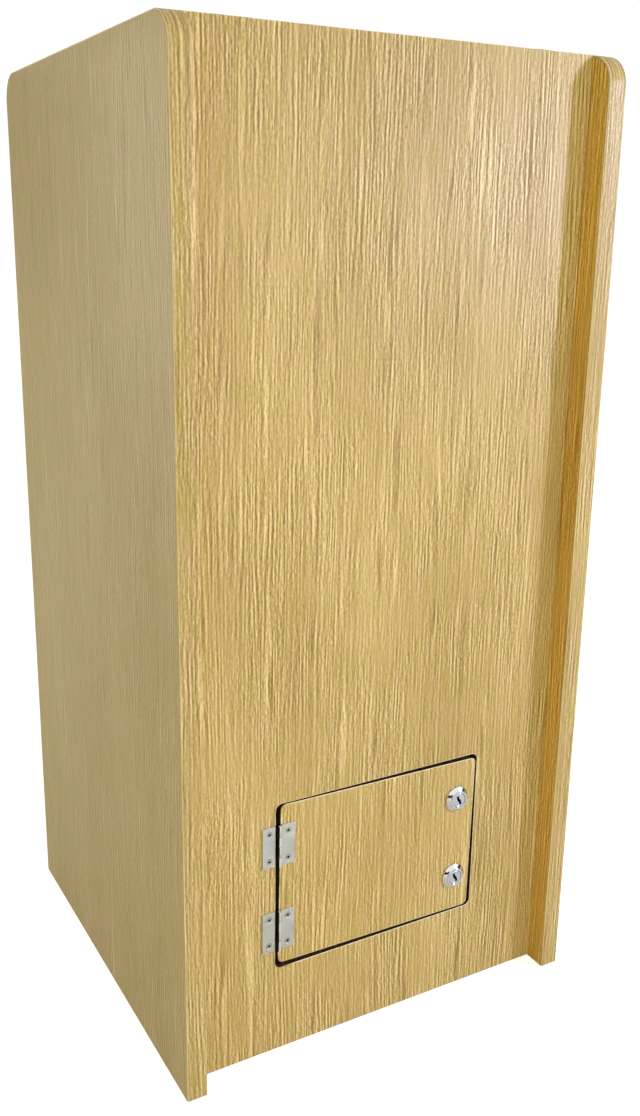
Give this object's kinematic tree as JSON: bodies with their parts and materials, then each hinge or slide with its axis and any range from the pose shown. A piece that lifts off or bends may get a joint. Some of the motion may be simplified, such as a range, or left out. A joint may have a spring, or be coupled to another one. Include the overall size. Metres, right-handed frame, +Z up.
{
  "type": "coin operated locker cabinet",
  "caption": "Free-standing oak-laminate coin cabinet with round-cornered side panels, a coin slot in its top and an inset cash door on butt hinges with cam locks.",
  "frame": {"origin": "middle of the cabinet's base, on the ground", "axes": "+X to the right along the front, +Y from the front back into the cabinet, +Z up"},
  "size_m": [0.4, 0.4, 0.845],
  "materials": {
    "oak_laminate": "satin oak-grain laminate on 18 mm board",
    "oak_band": "satin oak-grain edge band",
    "softwood": "bare planed softwood",
    "plated_steel": "satin plated steel",
    "chrome": "polished chrome",
    "zinc_steel": "zinc-plated sheet steel"
  },
  "bodies": {
    "cabinet": {"left_side_panel": "oak_laminate", "right_side_panel": "oak_laminate", "front_panel": "oak_laminate", "back_panel": "oak_laminate", "top_panel": "oak_laminate", "floor_panel": "oak_laminate", "left_edge_band": "oak_band", "right_edge_band": "oak_band", "front_left_batten": "softwood", "front_right_batten": "softwood", "back_left_batten": "softwood", "back_right_batten": "softwood", "floor_left_cleat": "softwood", "floor_right_cleat": "softwood", "door_stop_strip": "softwood", "upper_hinge_frame_leaf": "plated_steel", "upper_hinge_pin": "plated_steel", "upper_hinge_frame_upper_screw": "plated_steel", "upper_hinge_frame_lower_screw": "plated_steel", "lower_hinge_frame_leaf": "plated_steel", "lower_hinge_pin": "plated_steel", "lower_hinge_frame_upper_screw": "plated_steel", "lower_hinge_frame_lower_screw": "plated_steel", "coin_slot_plate": "plated_steel", "coin_slot_left_screw": "plated_steel", "coin_slot_right_screw": "plated_steel", "coin_chute": "zinc_steel", "coin_chute_left_screw": "plated_steel", "coin_chute_right_screw": "plated_steel", "cash_box": "zinc_steel", "cash_box_left_runner": "softwood", "cash_box_right_runner": "softwood", "cash_box_rear_stop": "softwood"},
    "door": {"door_panel": "oak_laminate", "upper_hinge_door_leaf": "plated_steel", "upper_hinge_door_upper_screw": "plated_steel", "upper_hinge_door_lower_screw": "plated_steel", "lower_hinge_door_leaf": "plated_steel", "lower_hinge_door_upper_screw": "plated_steel", "lower_hinge_door_lower_screw": "plated_steel", "upper_lock_barrel": "chrome", "upper_lock_nut": "zinc_steel", "lower_lock_barrel": "chrome", "lower_lock_nut": "zinc_steel"},
    "upper_lock": {"upper_lock_plug": "chrome", "upper_lock_cam": "zinc_steel", "upper_lock_cam_screw": "zinc_steel"},
    "lower_lock": {"lower_lock_plug": "chrome", "lower_lock_cam": "zinc_steel", "lower_lock_cam_screw": "zinc_steel"}
  },
  "joints": [
    {"name": "door_hinge", "type": "hinge", "parent": "cabinet", "child": "door", "pos_m": [-0.1046, -0.18145, 0.16295], "axis": [0, 0, -1], "range_deg": [0, 160]},
    {"name": "upper_lock_turn", "type": "hinge", "parent": "door", "child": "upper_lock", "pos_m": [0.0815, -0.179, 0.2005], "axis": [0, -1, 0], "range_deg": [0, 90]},
    {"name": "lower_lock_turn", "type": "hinge", "parent": "door", "child": "lower_lock", "pos_m": [0.0815, -0.179, 0.1205], "axis": [0, 1, 0], "range_deg": [0, 90]}
  ]
}
